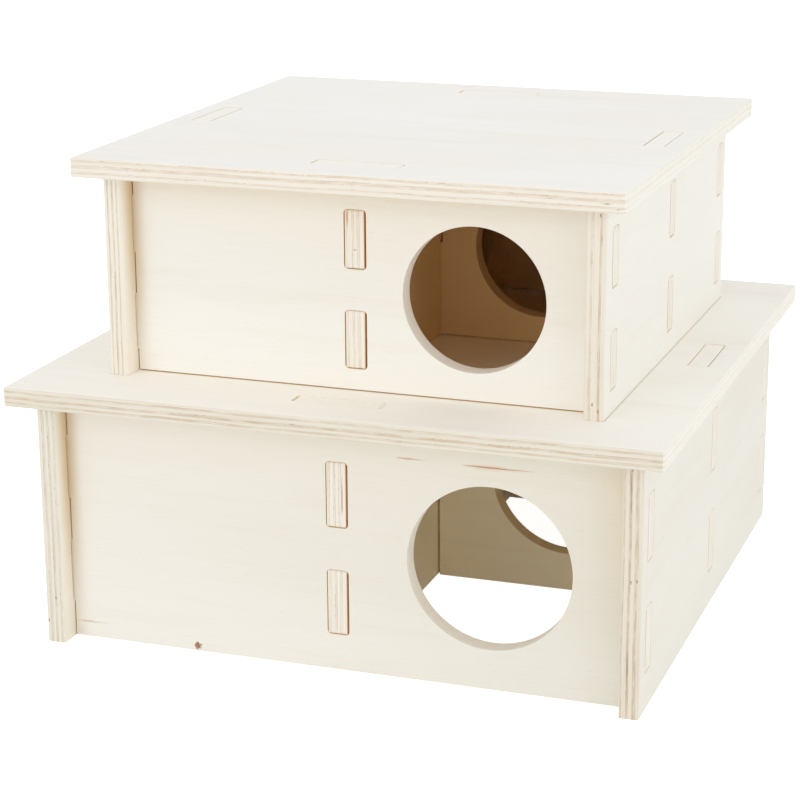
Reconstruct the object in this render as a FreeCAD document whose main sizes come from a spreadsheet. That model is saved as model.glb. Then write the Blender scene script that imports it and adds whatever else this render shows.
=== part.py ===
"""Wooden hamster house: two stacked plywood houses of four chambers, tabbed together, with lift-off roofs.

Millimetres, +Z up. The origin is the middle of the lower house's footprint, on the ground.
X runs to the right seen from the entry side, Y runs from the entry side to the back.
Both houses are drawn in the same way, each in its own frame, and the upper one stands on the lower roof.
"""
import FreeCAD
import Part
import Sketcher
import os

SHARED_SIZES = [
    ("ply", 8.0, "thickness of every plywood panel"),
    ("overhang", 9.5, "how far a roof reaches past the walls, all round"),
    ("recess_front", 9.5, "how far a front panel stands back from the side walls' ends"),
    ("recess_back", 7.5, "how far a back panel stands back from the side walls' ends"),
    ("middle_shift", 1.2, "how far the middle panel stands behind halfway between those two"),
    ("slot_play", 0.6, "gap on each side of a tab's thickness in its slot"),
    ("slot_end_play", 0.3, "gap above and below a tab in its slot"),
    ("roof_play", 0.4, "gap on each side of a top tab's thickness in a roof"),
    ("roof_end_play", 0.5, "gap at each end of a top tab in a roof"),
    ("shoulder_gap", 0.4, "gap between a panel's shoulders and the panel it is tabbed into"),
    ("panel_lift", 0.4, "how far the panels between the side walls stay off the ground"),
    ("panel_top_gap", 0.3, "gap between those panels and the roof"),
    ("tab_sink", 0.1, "how far a top tab ends below the roof's face"),
    ("divider_drift", 0.2, "how far the divider sits to the left in its play"),
    ("halving_end_gap", 0.25, "how far past half height each halving slot is cut"),
    ("slot_corner", 1.0, "radius of the slots' corners"),
    ("tab_corner", 0.6, "radius of the tabs' tips"),
    ("roof_corner", 1.5, "radius of a roof's upright corners"),
    ("edge_round", 0.8, "radius of the sanded outer edges"),
]

HOUSE_SIZES = {
    "lower": [
        ("width", 250.0, "over the side walls"),
        ("depth", 250.0, "length of the side walls"),
        ("wall_height", 103.0, "ground to the roof's underside"),
        ("tab_base", 15.5, "ground to the lower row of tabs"),
        ("tab_height", 27.0, "height of one tab"),
        ("tab_pitch", 45.0, "from the lower row of tabs to the upper row"),
        ("top_tab", 36.0, "length of a wall's top tab"),
        ("entry_radius", 33.4, "round entry in the front panel"),
        ("entry_offset", 62.5, "entry's centre to the right of the middle"),
        ("entry_height", 50.5, "entry's centre above the ground"),
        ("passage_radius", 33.4, "round passages between the chambers"),
        ("passage_offset", 62.5, "middle panel's passages to each side of the middle"),
        ("passage_height", 50.5, "passages' centres above the ground"),
    ],
    "upper": [
        ("width", 206.0, "over the side walls"),
        ("depth", 206.0, "length of the side walls"),
        ("wall_height", 82.0, "lower roof to the roof's underside"),
        ("tab_base", 9.0, "lower roof to the lower row of tabs"),
        ("tab_height", 23.4, "height of one tab"),
        ("tab_pitch", 40.2, "from the lower row of tabs to the upper row"),
        ("top_tab", 36.0, "length of a wall's top tab"),
        ("entry_radius", 28.9, "round entry in the front panel"),
        ("entry_offset", 48.5, "entry's centre to the right of the middle"),
        ("entry_height", 40.4, "entry's centre above the lower roof"),
        ("passage_radius", 28.9, "round passages between the chambers"),
        ("passage_offset", 48.5, "middle panel's passages to each side of the middle"),
        ("passage_height", 40.4, "passages' centres above the lower roof"),
    ],
}

STACKING_SIZES = [
    ("upper_shift_x", 2.0, "upper house's middle to the right of the lower one's"),
    ("upper_shift_y", -1.4, "upper house's middle behind the lower one's"),
    ("upper_turn", -0.5, "degrees that the upper house is turned, seen from above"),
]

# The end from which each house's middle panel is halved; its divider is halved from the other one
MIDDLE_PANEL_HALVED_FROM = {"lower": "below", "upper": "above"}
# For each origin plane, the axes that a sketch's across and up directions follow
PLANE_AXES = {"XY_Plane": ("x", "y"), "XZ_Plane": ("x", "z"), "YZ_Plane": ("y", "z")}
# Two places closer than this are the same
NEAR = FreeCAD.Base.Precision.confusion()

doc = FreeCAD.newDocument("hamster_house")
sizes = doc.addObject("Spreadsheet::Sheet", "sizes")


def fill_sheet():
    """Write every driving dimension into the sheet, one a row, under its own alias."""
    rows = list(SHARED_SIZES) + list(STACKING_SIZES)
    for house, house_rows in HOUSE_SIZES.items():
        rows += [(f"{house}_{word}", value, note) for word, value, note in house_rows]
    for row, (alias, value, note) in enumerate(rows, start=1):
        sizes.set(f"A{row}", alias)
        sizes.set(f"B{row}", str(value))
        sizes.setAlias(f"B{row}", alias)
        sizes.set(f"C{row}", note)
    doc.recompute()


def value_of(expression):
    """The present value of an expression on the sheet."""
    return float(sizes.evalExpression(expression.replace("sizes.", "")))


def new_body(name):
    """A body for one piece, under the name of its file."""
    body = doc.addObject("PartDesign::Body", name)
    body.Label = name
    return body


def new_sketch(body, name, plane, offset):
    """A sketch parallel to one of the body's own origin planes, moved along its normal."""
    sketch = body.newObject("Sketcher::SketchObject", f"{body.Name}_{name}")
    origin_plane = [item for item in body.Origin.OriginFeatures if item.Role == plane][0]
    sketch.AttachmentSupport = [(origin_plane, "")]
    sketch.MapMode = "FlatFace"
    sketch.setExpression("AttachmentOffset.Base.z", offset)
    return sketch


def bind(sketch, constraint, expression):
    """Add one constraint to a sketch and tie it to the sheet."""
    index = sketch.addConstraint(constraint)
    sketch.setExpression(f"Constraints[{index}]", expression)


def rectangle(sketch, left, bottom, right, top):
    """Draw a rectangle between expressions for its four sides, and return its corners."""
    x0, y0, x1, y1 = (value_of(side) for side in (left, bottom, right, top))
    corners = [(x0, y0), (x1, y0), (x1, y1), (x0, y1)]
    first = sketch.GeometryCount
    for index, corner in enumerate(corners):
        following = corners[(index + 1) % len(corners)]
        sketch.addGeometry(Part.LineSegment(FreeCAD.Vector(*corner, 0), FreeCAD.Vector(*following, 0)), False)
    for index in range(len(corners)):
        after = first + (index + 1) % len(corners)
        sketch.addConstraint(Sketcher.Constraint("Coincident", first + index, 2, after, 1))
    for index in (0, 2):
        sketch.addConstraint(Sketcher.Constraint("Horizontal", first + index))
        sketch.addConstraint(Sketcher.Constraint("Vertical", first + index + 1))
    bind(sketch, Sketcher.Constraint("DistanceX", -1, 1, first, 1, x0), left)
    bind(sketch, Sketcher.Constraint("DistanceY", -1, 1, first, 1, y0), bottom)
    bind(sketch, Sketcher.Constraint("DistanceX", -1, 1, first + 2, 1, x1), right)
    bind(sketch, Sketcher.Constraint("DistanceY", -1, 1, first + 2, 1, y1), top)
    return corners


def circle(sketch, across, up, radius):
    """Draw a circle from expressions for its centre and radius."""
    x, y, r = (value_of(part) for part in (across, up, radius))
    index = sketch.addGeometry(Part.Circle(FreeCAD.Vector(x, y, 0), FreeCAD.Vector(0, 0, 1), r), False)
    bind(sketch, Sketcher.Constraint("DistanceX", -1, 1, index, 3, x), across)
    bind(sketch, Sketcher.Constraint("DistanceY", -1, 1, index, 3, y), up)
    bind(sketch, Sketcher.Constraint("Radius", index, r), radius)


def pad(body, sketch):
    """Thicken a sketch by the plywood's thickness."""
    feature = body.newObject("PartDesign::Pad", f"{sketch.Name}_pad")
    feature.Profile = sketch
    feature.setExpression("Length", "sizes.ply")
    sketch.Visibility = False
    return feature


def cut_through(body, sketch):
    """Cut a sketch out of the panel that it lies against."""
    doc.recompute()
    before = body.Shape.Volume
    feature = body.newObject("PartDesign::Pocket", f"{sketch.Name}_cut")
    feature.Profile = sketch
    feature.Reversed = True
    feature.setExpression("Length", "sizes.ply")
    sketch.Visibility = False
    doc.recompute()
    if not body.Shape.Volume < before:
        raise RuntimeError(f"{feature.Name} cuts nothing")
    return feature


def straight_edges(shape, wanted):
    """Names of a shape's straight edges whose two end points satisfy wanted."""
    names = []
    for index, edge in enumerate(shape.Edges, start=1):
        if isinstance(edge.Curve, Part.Line) and wanted(*[vertex.Point for vertex in edge.Vertexes]):
            names.append(f"Edge{index}")
    return names


def round_edges(body, name, names, radius):
    """Round the named edges of the body's last feature."""
    base = body.Tip
    fillet = body.newObject("PartDesign::Fillet", f"{body.Name}_{name}")
    fillet.Base = (base, names)
    fillet.setExpression("Radius", radius)
    doc.recompute()
    return fillet


def round_corners(body, name, plane, corners, radius):
    """Round the edges that cross the panel's thickness at the given corners of its outline."""
    across, up = PLANE_AXES[plane]

    def at_corner(start, end):
        for u, v in corners:
            if all(abs(getattr(p, across) - u) < NEAR and abs(getattr(p, up) - v) < NEAR for p in (start, end)):
                return True
        return False

    return round_edges(body, name, straight_edges(body.Tip.Shape, at_corner), radius)


def place(body, house):
    """Tie a piece to its house's place: the lower house on the ground, the upper one on its roof."""
    if house == "upper":
        body.setExpression("Placement.Base.x", "sizes.upper_shift_x")
        body.setExpression("Placement.Base.y", "sizes.upper_shift_y")
        body.setExpression("Placement.Base.z", "sizes.lower_wall_height + sizes.ply")
        body.Placement.Rotation.Axis = FreeCAD.Vector(0, 0, 1)
        body.setExpression("Placement.Rotation.Angle", "sizes.upper_turn")


def panel_middles(house):
    """Expressions for the Y of the middle of the front, middle and back panels' thickness."""
    front = f"(-sizes.{house}_depth / 2 + sizes.recess_front + sizes.ply / 2)"
    back = f"(sizes.{house}_depth / 2 - sizes.recess_back - sizes.ply / 2)"
    return front, f"(({front} + {back}) / 2 + sizes.middle_shift)", back


def tab_rows(house):
    """Expressions for the bottom and top of the two rows of tabs."""
    low = f"sizes.{house}_tab_base"
    high = f"(sizes.{house}_tab_base + sizes.{house}_tab_pitch)"
    return [(low, f"({low} + sizes.{house}_tab_height)"), (high, f"({high} + sizes.{house}_tab_height)")]


def slot_rows(sketch, house, middle):
    """Draw the two slots, one above the other, that take a panel's tabs, and return their corners."""
    corners = []
    for low, high in tab_rows(house):
        corners += rectangle(
            sketch,
            f"{middle} - sizes.ply / 2 - sizes.slot_play",
            f"{low} - sizes.slot_end_play",
            f"{middle} + sizes.ply / 2 + sizes.slot_play",
            f"{high} + sizes.slot_end_play",
        )
    return corners


def halving_slot(sketch, house, left, right, open_end):
    """Draw the slot, open above or below, by which a panel is halved over the one that it crosses."""
    half_height = f"sizes.{house}_wall_height / 2"
    if open_end == "above":
        rectangle(sketch, left, f"{half_height} - sizes.halving_end_gap", right, f"sizes.{house}_wall_height")
    else:
        rectangle(sketch, left, "0", right, f"{half_height} + sizes.halving_end_gap")


def add_tabs(body, house, plane, offset, left, right):
    """Add two bands that end in a panel's four tabs, and return the tips' corners."""
    sketch = new_sketch(body, "tabs", plane, offset)
    corners = []
    for low, high in tab_rows(house):
        corners += rectangle(sketch, left, low, right, high)
    pad(body, sketch)
    return corners


def add_top_tab(body, house, plane, offset):
    """Add the tab that goes up into the roof, and return its tip's corners."""
    sketch = new_sketch(body, "top_tab", plane, offset)
    corners = rectangle(
        sketch,
        f"-sizes.{house}_top_tab / 2",
        f"sizes.{house}_tab_base",
        f"sizes.{house}_top_tab / 2",
        f"sizes.{house}_wall_height + sizes.ply - sizes.tab_sink",
    )
    pad(body, sketch)
    return corners[2:]


def roof(house):
    """Square plate that overhangs all round, with one slot a side for the walls' top tabs."""
    body = new_body(f"{house}_roof")
    underside = f"sizes.{house}_wall_height"
    half_x = f"(sizes.{house}_width / 2 + sizes.overhang)"
    half_y = f"(sizes.{house}_depth / 2 + sizes.overhang)"
    outline = new_sketch(body, "outline", "XY_Plane", underside)
    outer = rectangle(outline, f"-{half_x}", f"-{half_y}", half_x, half_y)
    pad(body, outline)
    slots = new_sketch(body, "slots", "XY_Plane", underside)
    half_long = f"(sizes.{house}_top_tab / 2 + sizes.roof_end_play)"
    half_thick = "(sizes.ply / 2 + sizes.roof_play)"
    side_middle = f"(sizes.{house}_width / 2 - sizes.ply / 2)"
    corners = []
    for x in (f"-{side_middle}", side_middle):
        corners += rectangle(slots, f"{x} - {half_thick}", f"-{half_long}", f"{x} + {half_thick}", half_long)
    front, _, back = panel_middles(house)
    for y in (front, back):
        corners += rectangle(slots, f"-{half_long}", f"{y} - {half_thick}", half_long, f"{y} + {half_thick}")
    cut_through(body, slots)
    round_corners(body, "slot_corners", "XY_Plane", corners, "sizes.slot_corner")
    round_corners(body, "corners", "XY_Plane", outer, "sizes.roof_corner")
    limit_x, limit_y = value_of(half_x), value_of(half_y)

    def on_rim(start, end):
        level = abs(start.z - end.z) < NEAR
        along_y = all(abs(abs(p.x) - limit_x) < NEAR for p in (start, end))
        along_x = all(abs(abs(p.y) - limit_y) < NEAR for p in (start, end))
        return level and (along_x or along_y)

    round_edges(body, "rim", straight_edges(body.Tip.Shape, on_rim), "sizes.edge_round")
    place(body, house)
    return body


def side_wall(house, side):
    """Full-depth wall with three columns of two slots and a top tab; both sides are cut alike."""
    body = new_body(f"{house}_{side}_wall")
    inner = f"(sizes.{house}_width / 2 - sizes.ply)"
    offset = inner if side == "right" else f"-sizes.{house}_width / 2"
    half_depth = f"(sizes.{house}_depth / 2)"
    outline = new_sketch(body, "outline", "YZ_Plane", offset)
    rectangle(outline, f"-{half_depth}", "0", half_depth, f"sizes.{house}_wall_height")
    pad(body, outline)
    tips = add_top_tab(body, house, "YZ_Plane", offset)
    slots = new_sketch(body, "slots", "YZ_Plane", offset)
    corners = []
    for middle in panel_middles(house):
        corners += slot_rows(slots, house, middle)
    cut_through(body, slots)
    round_corners(body, "slot_corners", "YZ_Plane", corners, "sizes.slot_corner")
    round_corners(body, "tab_corners", "YZ_Plane", tips, "sizes.tab_corner")
    limit_y = value_of(half_depth)

    def on_end(start, end):
        upright = abs(start.y - end.y) < NEAR and abs(start.x - end.x) < NEAR
        return upright and abs(abs(start.y) - limit_y) < NEAR

    round_edges(body, "ends", straight_edges(body.Tip.Shape, on_end), "sizes.edge_round")
    place(body, house)
    return body


def cross_panel_blank(house, name, middle, gap):
    """A panel across the house with four tabs into the side walls; returns body, offset and tips."""
    body = new_body(f"{house}_{name}")
    offset = f"-({middle} + sizes.ply / 2)"
    shoulder = f"(sizes.{house}_width / 2 - sizes.ply - {gap})"
    outline = new_sketch(body, "outline", "XZ_Plane", offset)
    top = f"sizes.{house}_wall_height - sizes.panel_top_gap"
    rectangle(outline, f"-{shoulder}", "sizes.panel_lift", shoulder, top)
    pad(body, outline)
    reach = f"(sizes.{house}_width / 2)"
    tips = add_tabs(body, house, "XZ_Plane", offset, f"-{reach}", reach)
    return body, offset, tips


def outer_panel(house, name, middle, has_entry):
    """Front or back panel: slots for the divider's tabs, a top tab, and the entry in the front one."""
    body, offset, tips = cross_panel_blank(house, name, middle, "sizes.shoulder_gap")
    tips += add_top_tab(body, house, "XZ_Plane", offset)
    openings = new_sketch(body, "openings", "XZ_Plane", offset)
    corners = slot_rows(openings, house, "0")
    if has_entry:
        circle(openings, f"sizes.{house}_entry_offset", f"sizes.{house}_entry_height", f"sizes.{house}_entry_radius")
    cut_through(body, openings)
    round_corners(body, "slot_corners", "XZ_Plane", corners, "sizes.slot_corner")
    round_corners(body, "tab_corners", "XZ_Plane", tips, "sizes.tab_corner")
    place(body, house)
    return body


def middle_panel(house):
    """Cross panel between front and back chambers: two passages, and a halving slot."""
    _, middle, _ = panel_middles(house)
    body, offset, tips = cross_panel_blank(house, "middle_panel", middle, "sizes.shoulder_gap")
    openings = new_sketch(body, "openings", "XZ_Plane", offset)
    for side in ("-", ""):
        circle(
            openings,
            f"{side}sizes.{house}_passage_offset",
            f"sizes.{house}_passage_height",
            f"sizes.{house}_passage_radius",
        )
    half_slot = "(sizes.ply / 2 + sizes.slot_play)"
    halving_slot(openings, house, f"-{half_slot}", half_slot, MIDDLE_PANEL_HALVED_FROM[house])
    cut_through(body, openings)
    round_corners(body, "tab_corners", "XZ_Plane", tips, "sizes.tab_corner")
    place(body, house)
    return body


def divider(house):
    """Long divider from front panel to back panel: one passage at the back, and a halving slot."""
    body = new_body(f"{house}_divider")
    front, middle, back = panel_middles(house)
    offset = "(-sizes.ply / 2 - sizes.divider_drift)"
    start = f"({front} - sizes.ply / 2)"
    finish = f"({back} + sizes.ply / 2)"
    outline = new_sketch(body, "outline", "YZ_Plane", offset)
    rectangle(
        outline,
        f"{start} + sizes.ply + sizes.shoulder_gap",
        "sizes.panel_lift",
        f"{finish} - sizes.ply - sizes.shoulder_gap",
        f"sizes.{house}_wall_height - sizes.panel_top_gap",
    )
    pad(body, outline)
    tips = add_tabs(body, house, "YZ_Plane", offset, start, finish)
    openings = new_sketch(body, "openings", "YZ_Plane", offset)
    circle(
        openings,
        f"({middle} + {back}) / 2",
        f"sizes.{house}_passage_height",
        f"sizes.{house}_passage_radius",
    )
    halving_slot(
        openings,
        house,
        f"{middle} - sizes.ply / 2 - sizes.slot_play",
        f"{middle} + sizes.ply / 2 + sizes.slot_play",
        "below" if MIDDLE_PANEL_HALVED_FROM[house] == "above" else "above",
    )
    cut_through(body, openings)
    round_corners(body, "tab_corners", "YZ_Plane", tips, "sizes.tab_corner")
    place(body, house)
    return body


def build_house(house):
    """Make the seven pieces of one house."""
    front, _, back = panel_middles(house)
    return [
        roof(house),
        side_wall(house, "left"),
        side_wall(house, "right"),
        outer_panel(house, "front_panel", front, True),
        outer_panel(house, "back_panel", back, False),
        middle_panel(house),
        divider(house),
    ]


def check(pieces):
    """Stop if any object failed, or a piece is empty, broken or in more than one solid."""
    doc.recompute()
    failed = [item.Name for item in doc.Objects if "Invalid" in item.State or "Error" in item.State]
    if failed:
        raise RuntimeError(f"failed objects: {failed}")
    for piece in pieces:
        shape = piece.Shape
        if shape.isNull() or not shape.isValid() or len(shape.Solids) != 1:
            raise RuntimeError(f"{piece.Label} is not one sound solid")


def write(pieces):
    """Write one STEP file for each piece and print its size."""
    os.makedirs("parts", exist_ok=True)
    for piece in pieces:
        piece.Shape.exportStep(f"parts/{piece.Label}.step")
        box = piece.Shape.BoundBox
        print(f"{piece.Label}: {box.XLength:.2f} x {box.YLength:.2f} x {box.ZLength:.2f} mm")


fill_sheet()
all_pieces = build_house("lower") + build_house("upper")
check(all_pieces)
write(all_pieces)
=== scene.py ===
"""Looks of the wooden hamster house: two stacked plywood houses of four chambers, with lift-off roofs.

Metres, +Z up. The origin is the middle of the lower house's footprint, on the ground.
X runs to the right seen from the entry side, Y runs from the entry side to the back.
"""

import logging
import math
from collections.abc import Callable, Sequence
from dataclasses import dataclass, field, replace
from enum import Enum

import bpy
from mathutils import Matrix, Vector

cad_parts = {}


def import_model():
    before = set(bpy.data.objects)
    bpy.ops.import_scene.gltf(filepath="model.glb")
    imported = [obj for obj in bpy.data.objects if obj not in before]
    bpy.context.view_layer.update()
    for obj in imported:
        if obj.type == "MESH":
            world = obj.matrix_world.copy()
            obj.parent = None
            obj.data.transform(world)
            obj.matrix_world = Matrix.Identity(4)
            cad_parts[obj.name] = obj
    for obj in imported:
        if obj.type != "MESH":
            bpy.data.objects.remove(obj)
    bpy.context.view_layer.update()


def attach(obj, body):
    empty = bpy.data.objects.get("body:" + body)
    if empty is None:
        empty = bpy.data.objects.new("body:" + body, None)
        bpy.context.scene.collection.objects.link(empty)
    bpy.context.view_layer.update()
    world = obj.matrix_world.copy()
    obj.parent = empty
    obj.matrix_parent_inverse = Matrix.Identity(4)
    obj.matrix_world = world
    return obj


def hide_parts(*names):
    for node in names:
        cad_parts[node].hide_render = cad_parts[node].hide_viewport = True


MM = 0.001
CLOSE = 0.01 * MM
SPARE = 2.0 * MM
BORE_SIDES = 128
EVERYWHERE = 1000.0
WHITE = (1.0, 1.0, 1.0, 1.0)
Tone = tuple[float, float, float]
Triple = tuple[float, float, float]
Socket = bpy.types.NodeSocket

log = logging.getLogger("hamster_house")


class Axis(Enum):
    """The axis that a board's thickness lies along."""

    X = 0
    Y = 1
    Z = 2


class Facing(Enum):
    """The way that a board's better face looks; the value is its turn about Z in degrees, or None for up."""

    FRONT = 0.0
    RIGHT = 90.0
    BACK = 180.0
    LEFT = 270.0
    UP = None


class Body(Enum):
    """The parts of the stack that move as one."""

    LOWER_HOUSE = "lower_house"
    LOWER_LID = "lower_lid"
    UPPER_HOUSE = "upper_house"
    UPPER_LID = "upper_lid"


class OpenEnd(Enum):
    """The end from which a panel is halved over the one that it crosses."""

    ABOVE = "above"
    BELOW = "below"


class Slot(Enum):
    """The record's finishes."""

    WALL = "plywood_wall"
    ROOF = "plywood_roof"


def tone(red: int, green: int, blue: int) -> Tone:
    """Turn a colour as seen on a screen, 0 to 255, into the light that it stands for.

    Args:
        red: Share of red.
        green: Share of green.
        blue: Share of blue.

    Returns:
        The three shares from 0 to 1, in linear light.
    """

    def linear(share: int) -> float:
        part = share / 255
        return part / 12.92 if part <= 0.04045 else ((part + 0.055) / 1.055) ** 2.4

    return linear(red), linear(green), linear(blue)


def deselect() -> None:
    """Deselect every object, because an operator acts on all that is selected."""
    bpy.ops.object.select_all(action="DESELECT")


def make_active(piece: bpy.types.Object) -> None:
    """Select one object alone and make it the active one."""
    deselect()
    piece.select_set(True)
    bpy.context.view_layer.objects.active = piece


def apply_modifier(piece: bpy.types.Object, kind: str, **settings: object) -> None:
    """Give a piece one modifier and apply it.

    Args:
        piece: The piece to change.
        kind: The modifier's type.
        **settings: Its settings by name.
    """
    make_active(piece)
    modifier = piece.modifiers.new(kind.title(), kind)
    for name, value in settings.items():
        setattr(modifier, name, value)
    bpy.ops.object.modifier_apply(modifier=modifier.name)


def add_block(low: Vector, high: Vector) -> bpy.types.Object:
    """Add a block between two corners.

    Args:
        low: Lowest corner.
        high: Highest corner.

    Returns:
        The block, with its place in its mesh.
    """
    deselect()
    bpy.ops.mesh.primitive_cube_add(size=1.0, location=(low + high) / 2)
    block = bpy.context.active_object
    block.scale = high - low
    bpy.ops.object.transform_apply(location=True, rotation=True, scale=True)
    return block


def bevel_edges(
    piece: bpy.types.Object, wanted: Callable[[Vector, Vector], bool], radius: float, segments: int
) -> None:
    """Round the edges whose two ends satisfy a test.

    Args:
        piece: The piece to change.
        wanted: Takes an edge's two ends and says whether it is rounded.
        radius: Radius of the rounding.
        segments: Number of faces across it.
    """
    make_active(piece)
    bpy.ops.object.mode_set(mode="EDIT")
    bpy.ops.mesh.select_mode(type="EDGE")
    bpy.ops.mesh.select_all(action="DESELECT")
    bpy.ops.object.mode_set(mode="OBJECT")
    mesh = piece.data
    for edge in mesh.edges:
        start, end = (mesh.vertices[index].co for index in edge.vertices)
        edge.select = wanted(start, end)
    bpy.ops.object.mode_set(mode="EDIT")
    bpy.ops.mesh.bevel(offset=radius, segments=segments, profile=0.5, affect="EDGES")
    bpy.ops.object.mode_set(mode="OBJECT")


@dataclass
class Board:
    """One plywood panel on the bench: a blank that is sawn out, bored and sanded.

    A place on the board is given by two coordinates in its plane, in the order of the remaining axes.
    """

    name: str
    axis: Axis
    near: float
    ply: float
    outline: tuple[float, float, float, float]
    tips: list[tuple[float, float]] = field(default_factory=list)
    bores: list[Triple] = field(default_factory=list)
    piece: bpy.types.Object | None = None

    def spread(self, depth: float, across: float, up: float) -> Vector:
        """Put a depth and two coordinates in the board's plane into the order X, Y, Z."""
        places = [across, up]
        places.insert(self.axis.value, depth)
        return Vector(places)

    def flat(self, point: Vector) -> tuple[float, float]:
        """The two coordinates of a point in the board's plane."""
        across, up = (point[index] for index in range(3) if index != self.axis.value)
        return across, up

    def runs_through(self, start: Vector, end: Vector) -> bool:
        """Whether an edge crosses the board's thickness."""
        (u0, v0), (u1, v1) = self.flat(start), self.flat(end)
        return math.hypot(u0 - u1, v0 - v1) < CLOSE and (start - end).length > 0.5 * self.ply

    def start(self) -> None:
        """Add the blank."""
        left, bottom, right, top = self.outline
        low, high = self.spread(self.near, left, bottom), self.spread(self.near + self.ply, right, top)
        self.piece = add_block(low, high)
        self.piece.name = self.name
        self.piece.data.name = self.name

    def saw_out(self, left: float, bottom: float, right: float, top: float, corner: float = 0.0) -> None:
        """Take a rectangle out of the board.

        Args:
            left: Lowest first coordinate.
            bottom: Lowest second coordinate.
            right: Highest first coordinate.
            top: Highest second coordinate.
            corner: Radius of its corners.
        """
        low = self.spread(self.near - SPARE / 2, left, bottom)
        high = self.spread(self.near + self.ply + SPARE / 2, right, top)
        cutter = add_block(low, high)
        if corner:
            bevel_edges(cutter, self.runs_through, corner, 5)
        self.take_away(cutter)

    def bore(self, across: float, up: float, radius: float) -> None:
        """Take a round hole out of the board.

        Args:
            across: First coordinate of its centre.
            up: Second coordinate of its centre.
            radius: Its radius.
        """
        turns = {Axis.X: (0, math.pi / 2, 0), Axis.Y: (math.pi / 2, 0, 0), Axis.Z: (0, 0, 0)}
        deselect()
        bpy.ops.mesh.primitive_cylinder_add(
            vertices=BORE_SIDES,
            radius=radius,
            depth=2 * self.ply,
            location=self.spread(self.near + self.ply / 2, across, up),
            rotation=turns[self.axis],
        )
        cutter = bpy.context.active_object
        bpy.ops.object.transform_apply(location=True, rotation=True, scale=True)
        self.take_away(cutter)
        self.bores.append((across, up, radius))

    def take_away(self, cutter: bpy.types.Object) -> None:
        """Cut a shape out of the board and clear it away."""
        apply_modifier(self.piece, "BOOLEAN", object=cutter, operation="DIFFERENCE", solver="EXACT")
        bpy.data.objects.remove(cutter)

    def round_tips(self, radius: float, segments: int = 3) -> None:
        """Round the edges across the thickness at the places in tips."""

        def at_tip(start: Vector, end: Vector) -> bool:
            u, v = self.flat(start)
            near_tip = any(math.hypot(u - tip[0], v - tip[1]) < CLOSE for tip in self.tips)
            return near_tip and self.runs_through(start, end)

        bevel_edges(self.piece, at_tip, radius, segments)

    def ease(self, wanted: Callable[[Vector, Vector], bool], radius: float) -> None:
        """Round some long outer edges well, as on an edge that hands touch."""
        bevel_edges(self.piece, wanted, radius, 4)

    def sand(self, width: float) -> None:
        """Break every edge that is still sharp and smooth the faces' shading."""
        apply_modifier(
            self.piece,
            "BEVEL",
            width=width,
            segments=2,
            limit_method="ANGLE",
            angle_limit=math.radians(50),
            use_clamp_overlap=False,
        )
        make_active(self.piece)
        bpy.ops.object.shade_smooth_by_angle(angle=math.radians(35))
        apply_modifier(self.piece, "WEIGHTED_NORMAL", mode="FACE_AREA", weight=100, keep_sharp=True)


@dataclass(frozen=True)
class Joinery:
    """Sizes that both houses share."""

    ply: float = 8.0 * MM
    overhang: float = 9.5 * MM
    recess_front: float = 9.5 * MM
    recess_back: float = 7.5 * MM
    middle_shift: float = 1.2 * MM
    slot_play: float = 0.6 * MM
    slot_end_play: float = 0.15 * MM
    roof_play: float = 0.4 * MM
    roof_end_play: float = 0.5 * MM
    shoulder_gap: float = 0.4 * MM
    panel_lift: float = 0.4 * MM
    panel_top_gap: float = 0.3 * MM
    tab_sink: float = 0.1 * MM
    divider_drift: float = 0.2 * MM
    halving_end_gap: float = 0.25 * MM
    slot_corner: float = 1.6 * MM
    tab_corner: float = 1.1 * MM
    roof_corner: float = 1.5 * MM
    edge_round: float = 0.8 * MM
    sanding: float = 0.25 * MM


@dataclass(frozen=True)
class HouseSizes:
    """Sizes of one house."""

    width: float
    depth: float
    wall_height: float
    tab_base: float
    tab_height: float
    tab_pitch: float
    top_tab: float
    hole_radius: float
    hole_offset: float
    hole_height: float


@dataclass(frozen=True)
class Stand:
    """Where a house stands: its shift, its height and its turn in degrees."""

    shift_x: float = 0.0
    shift_y: float = 0.0
    height: float = 0.0
    turn: float = 0.0

    def matrix(self) -> Matrix:
        """The move from the house's own frame to its place."""
        turn = Matrix.Rotation(math.radians(self.turn), 4, "Z")
        return Matrix.Translation((self.shift_x, self.shift_y, self.height)) @ turn


UPPER_STAND = Stand(shift_x=2.0 * MM, shift_y=-1.4 * MM, height=111.0 * MM, turn=-0.5)
LOWER_SIZES = HouseSizes(
    width=250 * MM,
    depth=250 * MM,
    wall_height=103 * MM,
    tab_base=15.5 * MM,
    tab_height=27 * MM,
    tab_pitch=45 * MM,
    top_tab=36 * MM,
    hole_radius=33.4 * MM,
    hole_offset=62.5 * MM,
    hole_height=50.5 * MM,
)
UPPER_SIZES = HouseSizes(
    width=206 * MM,
    depth=206 * MM,
    wall_height=82 * MM,
    tab_base=9 * MM,
    tab_height=23.4 * MM,
    tab_pitch=40.2 * MM,
    top_tab=36 * MM,
    hole_radius=28.9 * MM,
    hole_offset=48.5 * MM,
    hole_height=40.4 * MM,
)


@dataclass(frozen=True)
class Pattern:
    """A random pattern: its features for each mm in three directions, its shift, detail and distortion."""

    scale: Triple
    shift: float
    detail: float
    distortion: float = 0.0


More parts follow.
